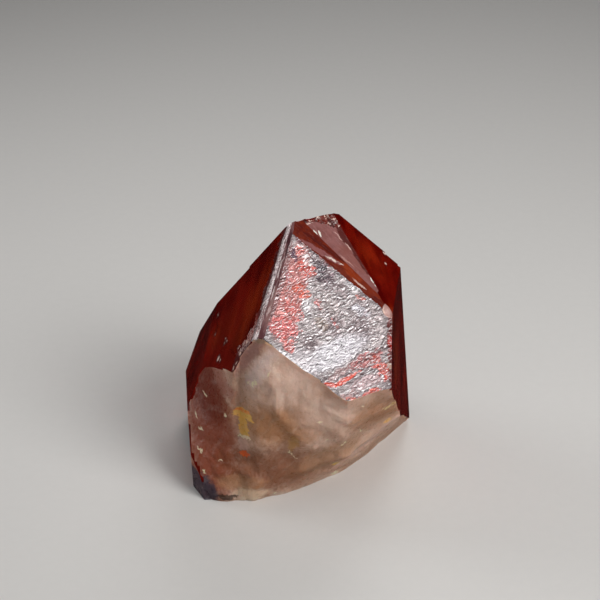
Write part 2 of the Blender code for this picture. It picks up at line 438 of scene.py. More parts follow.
@dataclass(frozen=True)
class Patch:
    """One patch of colour on a flat place: where it is, how far it reaches and how full it is."""

    middle: tuple[float, float]
    reach: tuple[float, float]
    tint: Triple
    turn_deg: float
    soft: float
    strength: float
    fill: float = 1.0

    def lay(
        self, sheet: NodeSheet, effects: Effects, below: Socket, flat: Socket, grains: Socket, gain: float
    ) -> Socket:
        """Lay the patch over a colour.

        Args:
            sheet: The material's sheet.
            effects: The shared groups.
            below: The colour below.
            flat: The flat place.
            grains: Uneven values that break up its edge, and all of it where it isn't full.
            gain: What its colour is brightened by.

        Returns:
            The colour with the patch on it.
        """
        spot = sheet.use(
            effects.patch,
            Flat=flat,
            Middle=(*self.middle, 0.0),
            Reach=(*self.reach, 1.0),
            Turn=math.radians(self.turn_deg),
            Soft=self.soft,
        )
        broken = self.fill < 1.0
        limit = 0.9 + (0.27 * (0.5 - self.fill) if broken else 0.0)
        edge = 0.06 if broken else 0.1 + 0.4 * self.soft
        level = sheet.sum("MULTIPLY_ADD", grains, 1.0 if broken else 0.8, -limit)
        gap = sheet.sum("MULTIPLY_ADD", spot.outputs["Mask"], 0.4 if broken else 1.0, level)
        share = sheet.ease(gap, -edge, edge, 0.0, self.strength)
        return sheet.mix(share, below, brighter(colour(*self.tint), gain))


@dataclass(frozen=True)
class ClearRedQuartz:
    """See-through quartz, tinted deep red through its thickness, with spots of painted glow here and there."""

    see_through: float = 0.7
    roughness: float = 0.06
    left_through: Triple = (0.95, 0.3, 0.2)
    density: float = 60.0
    band_way: Triple = (0.255, 0.694, 0.673)
    # Colour and places of the painted glow: light shining through the crystal, painted as bright red spots
    glow_tint: tuple[float, float, float, float] = (1.0, 0.1, 0.018, 1.0)
    painted_glow_spots: tuple[tuple[Triple, float, float], ...] = (
        ((-4.6, -6.5, 37.0), 4.0, 0.55),
        ((-7.0, -8.5, 33.0), 5.5, 0.8),
        ((-9.5, -10.5, 28.5), 5.0, 0.6),
        ((-13.4, -1.7, 22.3), 4.0, 0.5),
        ((-11.0, -4.4, 26.5), 5.0, 0.45),
        ((11.0, 0.0, 36.0), 6.0, 0.25),
        ((14.6, -8.5, 30.0), 3.5, 0.9),
        ((15.1, -8.3, 25.0), 3.5, 0.9),
        ((15.3, -8.9, 20.5), 3.0, 0.7),
        ((17.6, -6.5, 22.0), 7.0, 0.75),
    )

    def build(self, effects: Effects) -> bpy.types.Material:
        """Make the material.

        Args:
            effects: The shared groups, which it has no use for.

        Returns:
            The material.
        """
        material, sheet, shader = start_material("clear_red_quartz")
        shader.inputs["Transmission Weight"].default_value = self.see_through
        shader.inputs["IOR"].default_value = QUARTZ_INDEX
        place = sheet.place()
        along = sheet.arrow("DOT_PRODUCT", place, self.band_way)
        drawn = sheet.scale(self.band_way, sheet.sum("MULTIPLY", along, 0.85))
        streaky = sheet.arrow("SUBTRACT", place, drawn)
        streaks = sheet.ease(sheet.noise(streaky, 0.45, 3.0, 0.55, 0.5), 0.32, 0.68)
        depths = sheet.ease(sheet.noise(place, 0.11, 1.0, 0.4, 0.3), 0.38, 0.62)
        glow = sheet.sum("MULTIPLY", sheet.sum("ADD", streaks, depths), 0.5)
        tint = sheet.mix(glow, (0.26, 0.002, 0.001, 1.0), (0.8, 0.03, 0.01, 1.0))
        # Painted glow: brighter red round each spot, where light shining through is painted in
        for spot, reach, strength in self.painted_glow_spots:
            gap = sheet.arrow("LENGTH", sheet.arrow("SUBTRACT", place, spot))
            near = sheet.ease(gap, 0.0, reach, strength, 0.0)
            painted_glow = sheet.sum("MULTIPLY", near, sheet.sum("ADD", streaks, 0.4))
            tint = sheet.mix(painted_glow, tint, self.glow_tint)
        sheet.feed(shader.inputs["Base Color"], tint)
        smear = sheet.noise(place, 0.35, 4.0, 0.6, 0.5)
        roughness = sheet.ease(smear, 0.3, 0.75, self.roughness, self.roughness + 0.12)
        sheet.feed(shader.inputs["Roughness"], roughness)
        waves = sheet.noise(sheet.arrow("MULTIPLY", place, (0.5, 0.5, 1.2)), 0.4, 2.0, 0.4, 0.3)
        add_bump(sheet, shader, waves, 0.12, 0.5)
        volume = sheet.node("ShaderNodeVolumeAbsorption")
        volume.inputs["Color"].default_value = (*self.left_through, 1.0)
        volume.inputs["Density"].default_value = self.density
        sheet.feed(material.node_tree.nodes["Material Output"].inputs["Volume"], volume.outputs[0])
        return material


@dataclass(frozen=True)
class StoneFinish:
    """A cloudy stone: two colours in clouds, its gloss and its relief."""

    name: str
    first: Triple
    second: Triple
    relief_mm: float
    gloss: tuple[float, float]
    plain: tuple[tuple[str, Feed], ...] = ()
    cloud_mm: float = 2.4
    grain: float = 0.16
    gain: float = 1.0

    def build(self, effects: Effects) -> bpy.types.Material:
        """Make the material.

        Args:
            effects: The shared groups.

        Returns:
            The material.
        """
        material, sheet, shader = start_material(self.name)
        tint, fine, height = self.paint(sheet, effects, sheet.place())
        sheet.feed(shader.inputs["Base Color"], tint)
        sheet.feed(shader.inputs["Roughness"], sheet.ease(fine, 0.3, 0.7, *self.gloss))
        for name, amount in (("IOR", QUARTZ_INDEX), *self.plain):
            shader.inputs[name].default_value = amount
        add_bump(sheet, shader, height, self.relief_mm)
        return material

    def clouds(self, sheet: NodeSheet, effects: Effects, place: Socket) -> tuple[Socket, Socket]:
        """Place the clouds in the two colours, and give their colour and their fine grain.

        Args:
            sheet: The material's sheet.
            effects: The shared groups.
            place: Where a point lies.

        Returns:
            The colour and the grain.
        """
        tints = {
            "First": brighter(colour(*self.first), self.gain),
            "Second": brighter(colour(*self.second), self.gain),
        }
        cloud = sheet.use(effects.cloud, Place=place, Size=self.cloud_mm, Grain=self.grain, **tints)
        return cloud.outputs["Color"], cloud.outputs["Fine"]

    def paint(self, sheet: NodeSheet, effects: Effects, place: Socket) -> tuple[Socket, Socket, Socket]:
        """Work out the colour, the fine grain of the gloss and the height.

        Args:
            sheet: The material's sheet.
            effects: The shared groups.
            place: Where a point lies, in millimetres.

        Returns:
            The colour, the grain and the height.
        """
        tint, fine = self.clouds(sheet, effects, place)
        return tint, fine, fine


@dataclass(frozen=True)
class EtchedFace(StoneFinish):
    """A facet with streaks along it: cloudy stone with patches, dark painted shade and bright painted glints
    drawn from its relief.
    """

    face: str = "front"
    streak_deg: float = 0.0
    painted_glint_share: float = 0.0
    painted_shade_share: float = 0.3
    patches: tuple[Patch, ...] = ()
    stretch: float = 4.0
    pitch: float = 2.0
    # Colours of the painted shade and of the painted glints that the relief's slope lays over the patches
    dark: Triple = (60, 18, 26)
    bright: Triple = (240, 228, 226)
    start: Triple = FLAT_START
    ragged: float = 0.6
    gathered: bool = False

    def paint(self, sheet: NodeSheet, effects: Effects, place: Socket) -> tuple[Socket, Socket, Socket]:
        """Work out the colour, the fine grain of the gloss and the height.

        Args:
            sheet: The material's sheet.
            effects: The shared groups.
            place: Where a point lies, in millimetres.

        Returns:
            The colour, the grain and the height.
        """
        face = FACES[self.face]
        ways = {"Across": tuple(face.across()), "Up": tuple(face.upward())}
        flat = sheet.use(effects.flatten, Place=place, Start=self.start, Ragged=self.ragged, **ways)
        plain = flat.outputs["Flat"]
        ragged = flat.outputs["Ragged Flat"]
        turn = math.radians(self.streak_deg)
        etch = sheet.use(effects.etch, Flat=ragged, Turn=turn, Stretch=self.stretch, Pitch=self.pitch)
        tint, fine = self.clouds(sheet, effects, plain)
        for patch in self.patches:
            tint = patch.lay(sheet, effects, tint, ragged, etch.outputs["Grain"], self.gain)
        # Painted shade on the side of each ripple turned from the light, then painted glints on the side turned
        # to it
        tint = sheet.mix(sheet.sum("MULTIPLY", etch.outputs["Painted Shade"], self.painted_shade_share), tint, colour(*self.dark))
        painted_glint_share: Feed = self.painted_glint_share
        if self.gathered:
            painted_glint_share = sheet.ease(sheet.noise(plain, 0.35), 0.35, 0.6, 0.5, self.painted_glint_share)
        tint = sheet.mix(sheet.sum("MULTIPLY", etch.outputs["Painted Glints"], painted_glint_share), tint, colour(*self.bright))
        return tint, fine, etch.outputs["Height"]


@dataclass(frozen=True)
class MilkyBreak(StoneFinish):
    """The broken lower front: milky quartz with brown, red and yellow stains and small painted glints."""

    patches: tuple[Patch, ...] = ()
    glints: tuple[tuple[float, float], ...] = ()

    def paint(self, sheet: NodeSheet, effects: Effects, place: Socket) -> tuple[Socket, Socket, Socket]:
        """Work out the colour, the fine grain of the gloss and the height.

        Args:
            sheet: The material's sheet.
            effects: The shared groups.
            place: Where a point lies, in millimetres.

        Returns:
            The colour, the grain and the height.
        """
        ways = {"Across": (1.0, 0.0, 0.0), "Up": (0.0, 0.0, 1.0)}
        flat = sheet.use(effects.flatten, Place=place, Start=(0.0, 0.0, 0.0), Ragged=1.8, **ways)
        tint, fine = self.clouds(sheet, effects, place)
        # Small pale patches at the glints' places: painted glints
        bright = [
            Patch(spot, (0.42, 0.18), (236, 182, 154), 50.0 + 37.0 * number, 0.4, 0.9)
            for number, spot in enumerate(self.glints)
        ]
        grains = sheet.noise(place, 0.9, 4.0, 0.65, 0.4)
        for patch in (*self.patches, *bright):
            tint = patch.lay(sheet, effects, tint, flat.outputs["Ragged Flat"], grains, self.gain)
        etch = sheet.use(effects.etch, Flat=flat.outputs["Flat"], Turn=0.9, Stretch=2.2, Pitch=0.6)
        # A few painted glints from the slope of a faint relief
        tint = sheet.mix(sheet.sum("MULTIPLY", etch.outputs["Painted Glints"], 0.08), tint, colour(226, 208, 196))
        return tint, fine, fine


@dataclass(frozen=True)
class ChippedEdge(StoneFinish):
    """Small broken places: dark red with bright painted glints on the crest, paler on the corners below it."""

    low_tint: Triple = (214, 172, 164)

    def paint(self, sheet: NodeSheet, effects: Effects, place: Socket) -> tuple[Socket, Socket, Socket]:
        """Work out the colour, the fine grain of the gloss and the height.

        Args:
            sheet: The material's sheet.
            effects: The shared groups.
            place: Where a point lies, in millimetres.

        Returns:
            The colour, the grain and the height.
        """
        tint, fine = self.clouds(sheet, effects, place)
        height = sheet.node("ShaderNodeSeparateXYZ", {0: place}).outputs["Z"]
        tint = sheet.mix(sheet.ease(height, 36.0, 34.0), tint, colour(*self.low_tint))
        etch = sheet.use(effects.etch, Flat=place, Turn=0.4, Stretch=1.5, Pitch=1.6)
        # Painted glints where the relief's slope faces one way
        tint = sheet.mix(sheet.sum("POWER", etch.outputs["Painted Glints"], 2.5), tint, colour(250, 220, 206))
        return tint, fine, etch.outputs["Height"]


def speck_patches() -> tuple[Patch, ...]:
    """A bright patch for each lone speck, on the flat place of the left face.

    Returns:
        The patches.
    """
    face = FACES["left"]
    patches = []
    for spot, radius in SPECKS:
        gap = Vector(spot) - Vector(FLAT_START)
        middle = (gap.dot(face.across()), gap.dot(face.upward()))
        patches.append(Patch(middle, (radius, 0.6 * radius), (244, 214, 200), 900.0 * radius, 0.4, 0.9))
    return tuple(patches)


# The etched front: its pale grey ground is the frosted face and also painted reflection of the key light; grey,
# silver and white patches are painted reflection and glints, dark grey ones painted shade, red, pink, orange
# and mauve ones its own stains
ETCHED_FRONT = EtchedFace(
    "etched_front", (172, 162, 162), (136, 120, 122), 0.09, (0.14, 0.28),
    (("Metallic", 0.32), ("Specular IOR Level", 0.4)), 3.4, 0.25,
    streak_deg=16.0, painted_glint_share=0.95, painted_shade_share=0.8, stretch=2.6, pitch=3.2, dark=(64, 38, 46), bright=(252, 248, 250),
    start=(0.335, -14.431, 31.59), ragged=0.9, gathered=True,
    patches=(
        Patch((0.2, 6.2), (7.5, 2.3), (196, 112, 106), 59.0, 0.5, 0.8),
        # The next two patches, pale grey: painted reflection of the key light
        Patch((12.6, -2.3), (4.0, 1.5), (176, 162, 162), 79.0, 0.6, 0.7),
        Patch((5.5, 2.7), (2.4, 1.5), (158, 144, 142), -71.0, 0.6, 0.6),
        Patch((3.7, 0.2), (1.3, 0.8), (140, 120, 106), -60.0, 0.5, 0.6),
        # The next three patches, dark grey: painted shade where the face reflects little light
        Patch((6.2, 7.7), (2.6, 1.9), (108, 84, 92), -60.0, 0.5, 0.8, 0.75),
        Patch((5.5, 7.9), (1.6, 0.7), (66, 56, 68), 88.0, 0.5, 0.6, 0.7),
        Patch((5.6, 8.3), (2.6, 1.5), (50, 38, 48), -60.0, 0.3, 0.9, 0.42),
        Patch((8.1, 8.9), (3.0, 1.0), (158, 96, 96), -43.0, 0.5, 0.85, 0.75),
        # The next five patches, silver and white: painted reflection and painted glints of the lights
        Patch((2.2, 3.4), (1.8, 1.1), (240, 234, 236), -75.0, 0.4, 0.85, 0.6),
        Patch((10.3, 4.9), (1.8, 0.8), (232, 228, 230), -38.0, 0.5, 0.6, 0.7),
        Patch((10.5, 0.8), (2.1, 1.0), (206, 204, 214), -38.0, 0.5, 0.6, 0.7),
        Patch((4.4, -4.7), (5.6, 2.0), (226, 222, 228), 12.0, 0.6, 0.8),
        Patch((-0.7, -4.3), (2.4, 1.4), (214, 206, 210), -30.0, 0.6, 0.75),
        Patch((2.1, 11.6), (1.5, 0.7), (74, 46, 74), -80.0, 0.5, 0.85, 0.8),
        Patch((0.1, 8.3), (1.4, 0.5), (150, 96, 114), -82.0, 0.5, 0.6, 0.7),
        Patch((3.6, 8.9), (2.2, 1.3), (200, 82, 70), -44.0, 0.35, 0.9, 0.65),
        Patch((3.3, 11.5), (1.6, 0.8), (192, 90, 82), -83.0, 0.35, 0.85, 0.6),
        Patch((1.9, 5.8), (2.0, 1.1), (206, 86, 62), -47.0, 0.35, 0.9, 0.65),
        Patch((-0.2, 3.0), (2.4, 1.5), (202, 100, 94), -60.0, 0.35, 0.85, 0.6),
        Patch((-2.5, 0.8), (2.9, 1.9), (210, 108, 106), -33.0, 0.45, 0.85, 0.95),
        Patch((-2.4, -1.7), (1.5, 1.1), (208, 104, 98), -74.0, 0.35, 0.85, 0.75),
        Patch((4.0, 3.3), (1.2, 0.7), (192, 88, 82), -73.0, 0.35, 0.8, 0.45),
        # White patch: painted glints
        Patch((4.0, 10.3), (1.5, 0.8), (250, 244, 244), -60.0, 0.35, 0.9, 0.5),
        Patch((5.9, -0.1), (1.3, 0.5), (206, 104, 102), -72.0, 0.35, 0.8, 0.5),
        Patch((11.1, 2.7), (1.2, 0.4), (214, 116, 100), -38.0, 0.35, 0.8, 0.5),
        Patch((9.3, -6.9), (3.9, 1.1), (180, 102, 100), 8.0, 0.4, 0.85, 0.75),
        Patch((9.7, -5.8), (3.2, 0.3), (196, 120, 122), 8.0, 0.4, 0.6, 0.6),
        Patch((4.4, -7.8), (2.3, 0.5), (190, 152, 150), 19.0, 0.5, 0.6),
        Patch((8.6, -10.1), (2.9, 0.9), (206, 176, 178), 3.0, 0.5, 0.8),
        Patch((5.4, -11.5), (2.0, 0.8), (196, 158, 156), -3.0, 0.5, 0.7, 0.8),
        Patch((2.6, -9.2), (1.2, 0.45), (224, 84, 64), -25.0, 0.3, 0.95, 0.9),
        Patch((5.0, -9.0), (2.0, 0.5), (226, 84, 62), 17.0, 0.3, 0.95, 0.9),
        Patch((7.3, -8.4), (1.1, 0.25), (218, 92, 76), 10.0, 0.3, 0.9, 0.8),
        Patch((11.3, -7.8), (1.6, 0.4), (214, 88, 78), 9.0, 0.3, 0.9, 0.7),
        Patch((11.9, -9.1), (1.5, 0.45), (218, 84, 72), 17.0, 0.3, 0.9, 0.8),
        Patch((12.1, -10.1), (1.1, 0.4), (218, 80, 66), 29.0, 0.3, 0.9, 0.85),
        Patch((9.0, -11.7), (2.0, 0.35), (214, 88, 72), 6.0, 0.3, 0.9, 0.8),
        Patch((5.4, -12.0), (1.8, 0.3), (216, 90, 70), -10.0, 0.3, 0.85, 0.75),
        # Thin white line near the edge with the break: painted highlight
        Patch((-2.0, -4.8), (3.6, 0.3), (244, 240, 244), -49.0, 0.5, 0.8),
        Patch((13.8, -5.7), (5.6, 0.45), (118, 50, 46), 76.0, 0.3, 0.95),
        Patch((14.0, -5.1), (1.2, 0.3), (176, 30, 18), 74.0, 0.4, 0.9),
        Patch((12.9, -8.6), (0.7, 0.4), (190, 152, 132), -77.0, 0.4, 0.9),
        Patch((15.1, -0.2), (1.5, 0.85), (176, 124, 120), -76.0, 0.4, 0.85, 0.8),
        Patch((3.7, 14.0), (1.1, 0.5), (128, 76, 84), 84.0, 0.4, 0.8),
        Patch((-0.9, 8.0), (6.9, 0.55), (146, 104, 104), 59.0, 0.4, 0.85),
        Patch((11.6, -8.3), (2.4, 1.0), (202, 86, 72), -70.0, 0.4, 0.85, 0.65),
        Patch((15.2, 0.2), (1.4, 0.85), (190, 150, 146), -82.0, 0.4, 0.85),
        # The next two patches, white slivers by the corner chip: painted glints
        Patch((15.8, 1.2), (0.7, 0.22), (252, 244, 240), -77.0, 0.35, 0.95),
        Patch((14.6, -0.4), (0.7, 0.22), (252, 244, 240), -81.0, 0.35, 0.95),
    ),
)
# The silver band: its pale ground colours are painted sheen of the left light, added to the gloss that the
# shader gives it
SILVER_BAND = EtchedFace(
    "silver_band", (236, 220, 220), (206, 184, 186), 0.06, (0.2, 0.32), (("Metallic", 0.35),),
    face="left_band_outer", streak_deg=-63.0, painted_glint_share=0.95, painted_shade_share=0.75, stretch=1.3, pitch=3.2, dark=(92, 54, 56),
    patches=(
        Patch((6.0, -7.0), (12.0, 4.0), (92, 44, 46), -63.0, 0.3, 0.85, 0.3),
        Patch((9.3, -12.9), (2.2, 1.6), (140, 98, 96), -63.0, 0.5, 0.85),
    ),
)
MAUVE_BAND = EtchedFace(
    "mauve_band", (136, 90, 90), (106, 60, 64), 0.03, (0.3, 0.42),
    face="left_band_inner", streak_deg=-87.0, painted_glint_share=0.12,
    patches=(
        Patch((1.6, -3.7), (2.5, 0.35), (66, 24, 32), -80.0, 0.4, 0.85),
        Patch((2.5, -3.7), (2.3, 0.25), (156, 116, 124), -81.0, 0.4, 0.7, 0.8),
        Patch((2.5, -13.1), (3.4, 0.85), (164, 120, 116), -87.0, 0.6, 0.8),
        Patch((2.0, -8.9), (1.9, 0.2), (92, 44, 50), -83.0, 0.4, 0.7, 0.8),
        # The next two thin pale lines: painted glints along the band's edges
        Patch((1.7, -9.9), (7.5, 0.15), (226, 206, 204), -86.0, 0.35, 0.85, 0.6),
        Patch((2.2, -14.1), (1.4, 0.2), (214, 180, 176), 88.0, 0.35, 0.8, 0.6),
    ),
)
ORANGE_STRIP = EtchedFace(
    "orange_strip", (120, 38, 13), (98, 23, 8), 0.02, (0.35, 0.47), (("Specular IOR Level", 0.03),),
    face="strip", streak_deg=-55.0, painted_glint_share=0.02,
    patches=(
        Patch((1.0, -3.6), (4.3, 0.35), (86, 20, 10), -53.0, 0.4, 0.85),
        Patch((0.2, -4.3), (3.5, 0.4), (152, 96, 96), -48.0, 0.4, 0.8),
        Patch((4.2, -8.7), (2.0, 1.05), (146, 52, 15), -60.0, 0.5, 0.85),
        Patch((6.7, -12.8), (2.1, 0.7), (128, 42, 16), -49.0, 0.5, 0.8),
        # From here on, thin pale lines and white slivers: painted glints along the strip's edges
        Patch((1.7, -6.0), (2.2, 0.17), (244, 226, 214), -43.0, 0.35, 0.9, 0.6),
        Patch((4.3, -10.5), (1.9, 0.16), (226, 190, 176), -60.0, 0.35, 0.8, 0.5),
        Patch((6.6, -10.6), (0.7, 0.35), (255, 246, 236), -62.0, 0.3, 0.95),
        Patch((7.3, -12.0), (0.5, 0.35), (255, 246, 236), -72.0, 0.3, 0.95),
        Patch((8.2, -13.6), (0.6, 0.35), (250, 230, 216), -62.0, 0.3, 0.95),
    ),
)
HAZY_LENS = EtchedFace(
    "hazy_lens", (146, 93, 90), (134, 80, 76), 0.02, (0.3, 0.42), (("Specular IOR Level", 0.2),),
    face="lens", streak_deg=-64.0, painted_glint_share=0.05, painted_shade_share=0.12,
    patches=(
        Patch((3.8, -7.4), (2.9, 1.35), (139, 80, 71), -64.0, 0.6, 0.6),
        Patch((4.7, -3.4), (2.4, 1.15), (84, 16, 8), 89.0, 0.25, 0.95),
        Patch((5.2, -8.3), (3.6, 0.8), (84, 16, 8), -82.0, 0.25, 0.95),
        # From here on, thin pale lines and white slivers: painted glints along the lens's edges and its chip
        Patch((3.3, -3.2), (1.3, 0.18), (214, 170, 160), -69.0, 0.35, 0.8, 0.6),
        Patch((4.0, -5.3), (1.0, 0.16), (228, 190, 178), -78.0, 0.35, 0.8, 0.6),
        Patch((-0.4, -2.5), (1.3, 0.15), (206, 160, 152), -51.0, 0.35, 0.7, 0.6),
        Patch((2.4, -7.1), (1.9, 0.15), (200, 150, 140), -62.0, 0.35, 0.7, 0.6),
        Patch((-0.3, -1.5), (0.6, 0.2), (255, 240, 228), -86.0, 0.3, 0.95),
        Patch((0.4, -1.7), (0.6, 0.17), (255, 240, 228), 83.0, 0.3, 0.95),
        Patch((5.1, -11.7), (0.6, 0.25), (255, 246, 236), -77.0, 0.3, 0.95),
        Patch((5.4, -12.9), (0.6, 0.25), (255, 246, 236), -77.0, 0.3, 0.95),
        Patch((-0.7, 0.4), (1.3, 0.15), (232, 206, 196), -6.0, 0.35, 0.85, 0.7),
    ),
)
SPECKLED_EDGE = EtchedFace(
    "speckled_edge", (104, 14, 5), (80, 8, 3), 0.02, (0.3, 0.42), (("Specular IOR Level", 0.2),),
    face="left", streak_deg=-51.0, stretch=1.3, pitch=5.5,
    patches=(
        Patch((12.0, -12.4), (2.2, 2.4), (160, 60, 48), 0.0, 0.5, 0.8),
        Patch((7.6, -7.2), (8.5, 1.3), (232, 206, 200), -51.0, 0.3, 0.9, 0.24),
        Patch((12.4, -13.5), (2.6, 3.6), (236, 208, 202), 0.0, 0.3, 0.95, 0.36),
        *speck_patches(),
    ),
)
MILKY_BREAK = MilkyBreak(
    "milky_break", (178, 150, 134), (160, 128, 110), 0.14, (0.24, 0.4),
    (
        ("Specular IOR Level", 0.35),
        ("Subsurface Weight", 0.6),
        ("Subsurface Radius", (1.0, 0.6, 0.45)),
        ("Subsurface Scale", 2.0 * MM),
    ),
    5.0, 0.05, 1.7,
    patches=(
        # The next two patches, dark red-brown over the left scoop: the red of the deep quartz, partly painted
        # shade in the recess
        Patch((-14.0, 11.0), (4.6, 11.0), (120, 54, 36), 4.0, 0.8, 0.9),
        Patch((-14.6, 16.5), (3.4, 4.2), (96, 38, 26), 0.0, 0.7, 0.75),
        Patch((-11.6, 20.4), (2.0, 1.6), (140, 92, 80), -20.0, 0.8, 0.7),
        # Darker mauve along the valley from the peak to the notch: painted shade in the crease, on the stone's
        # mauve
        Patch((-7.4, 28.0), (4.6, 1.0), (128, 88, 82), 59.0, 0.8, 0.8),
        Patch((-5.6, 26.4), (4.2, 1.2), (186, 166, 160), 59.0, 0.8, 0.8),
        Patch((-5.9, 31.2), (0.9, 0.8), (126, 104, 84), 0.0, 0.6, 0.8),
        Patch((-4.3, 30.9), (0.9, 0.6), (184, 156, 124), -20.0, 0.5, 0.85),
        Patch((-1.5, 25.0), (4.6, 4.0), (188, 162, 148), -20.0, 0.9, 0.6),
        Patch((-3.5, 16.0), (6.0, 3.8), (144, 100, 66), 0.0, 0.9, 0.85),
        Patch((-4.0, 6.5), (8.5, 4.8), (108, 62, 36), 0.0, 0.9, 0.85),
        Patch((4.5, 18.5), (4.4, 3.2), (182, 156, 142), 20.0, 0.9, 0.65),
        Patch((12.5, 15.5), (4.6, 3.8), (138, 98, 72), -30.0, 0.9, 0.8),
        Patch((5.0, 8.0), (6.0, 3.0), (142, 108, 84), 30.0, 0.9, 0.75),
        Patch((-8.5, 16.8), (1.6, 1.0), (240, 156, 84), 0.0, 0.3, 0.9),
        Patch((-8.6, 14.4), (0.8, 2.0), (236, 150, 76), 8.0, 0.3, 0.9),
        Patch((-8.6, 17.3), (1.5, 0.3), (214, 120, 60), 4.0, 0.3, 0.9),
        Patch((-8.6, 10.8), (1.0, 1.2), (184, 150, 136), 0.0, 0.6, 0.7),
        Patch((-8.5, 9.0), (0.9, 0.45), (196, 86, 34), 8.0, 0.4, 0.85),
        Patch((-0.7, 12.4), (0.8, 1.8), (160, 122, 70), -20.0, 0.6, 0.6),
        Patch((6.0, 4.2), (0.6, 0.4), (206, 164, 80), 0.0, 0.5, 0.8),
        Patch((-9.0, 4.0), (4.0, 1.6), (148, 110, 82), 0.0, 0.6, 0.7),
        Patch((-7.6, 1.6), (2.6, 1.5), (196, 170, 146), 0.0, 0.7, 0.8),
        Patch((-16.2, 1.6), (3.4, 2.9), (58, 54, 66), 0.0, 0.4, 0.9),
        Patch((-11.4, 0.9), (1.4, 0.7), (40, 38, 32), 0.0, 0.4, 0.8),
        # Paler band along the lower right rim: the rim's pale tone with painted rim light on it
        Patch((11.5, 7.0), (7.0, 0.9), (194, 164, 154), 35.0, 0.6, 0.6),
        # The next two patches, pale orange and broken: orange stains with painted sparkle on them
        Patch((14.4, 15.9), (1.6, 0.5), (220, 180, 130), -10.0, 0.4, 0.8, 0.45),
        Patch((14.6, 10.6), (1.2, 0.5), (214, 150, 86), 20.0, 0.4, 0.8, 0.45),
        # Thin pale line along the crease: painted highlight
        Patch((-1.0, 9.9), (1.7, 0.2), (216, 180, 150), -55.0, 0.4, 0.8, 0.7),
        # Small pale patch below the yellow stain: painted glint
        Patch((-8.4, 12.3), (0.9, 0.35), (228, 176, 148), 12.0, 0.3, 0.95),
    ),
    # Places of the small painted glints
    glints=(
        (-4.4, 26.1), (-7.0, 23.6), (-17.0, 14.1), (-14.9, 15.2), (-15.6, 10.4),
        (-11.6, 15.2), (-14.9, 5.2), (-15.7, 7.8), (3.4, 17.1), (4.4, 13.0),
        (7.3, 10.9), (9.8, 12.7), (9.9, 19.1), (6.1, 0.6), (-3.7, 0.5),
        (-7.6, 23.2), (-6.6, 24.1), (-16.4, 11.6), (-12.4, 7.2), (-16.8, 16.2),
    ),
)

LOOKS: dict[Skin, Union[ClearRedQuartz, StoneFinish]] = {
    Skin.CLEAR: ClearRedQuartz(),
    Skin.FRONT: ETCHED_FRONT,
    Skin.SILVER_BAND: SILVER_BAND,
    Skin.MAUVE_BAND: MAUVE_BAND,
    Skin.ORANGE_STRIP: ORANGE_STRIP,
    Skin.LENS: HAZY_LENS,
    Skin.BREAK: MILKY_BREAK,
    Skin.CHIPS: ChippedEdge("chipped_edge", (128, 38, 22), (76, 14, 8), 0.2, (0.12, 0.3), (), 1.2, 0.3),
    Skin.FOOT: StoneFinish("milky_foot", (226, 214, 206), (206, 186, 172), 0.08, (0.5, 0.7), (), 6.0, 0.06),
    Skin.SPECKLED: SPECKLED_EDGE,
}


@dataclass(frozen=True)
class PaleFloor:
    """The plain pale paper that the crystal stands on, painted nearly black where reflections show it."""

    tint: Triple = (220, 218, 215)
    painted_reflection_shade: float = 0.015
    roughness: float = 0.85

    def build(self) -> bpy.types.Material:
        """Make the material.

        Returns:
            The material.
        """
        material, sheet, shader = start_material("pale_floor")
        grain = sheet.noise(sheet.place(), 0.6, 3.0, 0.6)
        full = colour(*self.tint)
        pale = sheet.mix(grain, full, brighter(full, 0.96))
        # Glossy rays see the floor nearly black: painted shade in the reflections on the crystal's faces
        glossy = sheet.node("ShaderNodeLightPath").outputs["Is Glossy Ray"]
        sheet.feed(shader.inputs["Base Color"], sheet.mix(glossy, pale, brighter(full, self.painted_reflection_shade)))
        shader.inputs["Roughness"].default_value = self.roughness
        shader.inputs["Specular IOR Level"].default_value = 0.0
        return material


# Modelling steps


def deselect_all() -> None:
    """Leave nothing selected."""
    if bpy.context.mode != "OBJECT":
        bpy.ops.object.mode_set(mode="OBJECT")
    bpy.ops.object.select_all(action="DESELECT")


def choose(piece: bpy.types.Object) -> None:
    """Select one piece alone.

    Args:
        piece: The piece.
    """
    deselect_all()
    piece.select_set(True)
    bpy.context.view_layer.objects.active = piece


def start_edit(piece: bpy.types.Object) -> None:
    """Open one piece in edit mode with faces picked and nothing selected.

    Args:
        piece: The piece.
    """
    choose(piece)
    bpy.ops.object.mode_set(mode="EDIT")
    bpy.ops.mesh.select_mode(type="FACE")
    bpy.ops.mesh.select_all(action="DESELECT")


def end_edit() -> None:
    """Go back to object mode."""
    bpy.ops.object.mode_set(mode="OBJECT")


def pick(piece: bpy.types.Object, wanted: Callable[[Any], bool], kind: str = "FACE") -> None:
    """Select the faces or the edges of a piece in edit mode that are wanted, and no others.

    Args:
        piece: The piece in edit mode.
        wanted: Says of a face or an edge whether it is wanted.
        kind: FACE or EDGE.
    """
    bpy.ops.mesh.select_mode(type=kind)
    bpy.ops.mesh.select_all(action="DESELECT")
    mesh = bmesh.from_edit_mesh(piece.data)
    for element in mesh.faces if kind == "FACE" else mesh.edges:
        if wanted(element):
            element.select_set(True)
    bmesh.update_edit_mesh(piece.data, loop_triangles=False, destructive=False)


@dataclass(frozen=True)
class Relief:
    """One layer of relief that a modifier presses into a skin."""

    name: str
    skin: Skin
    size_mm: float
    depth_mm: float
    middle: float
    depth_layers: int
    fade_mm: float
    stretch: Triple = (1.0, 1.0, 1.0)
    face: Optional[str] = None
    turn_deg: float = 0.0
    basis: str = "ORIGINAL_PERLIN"


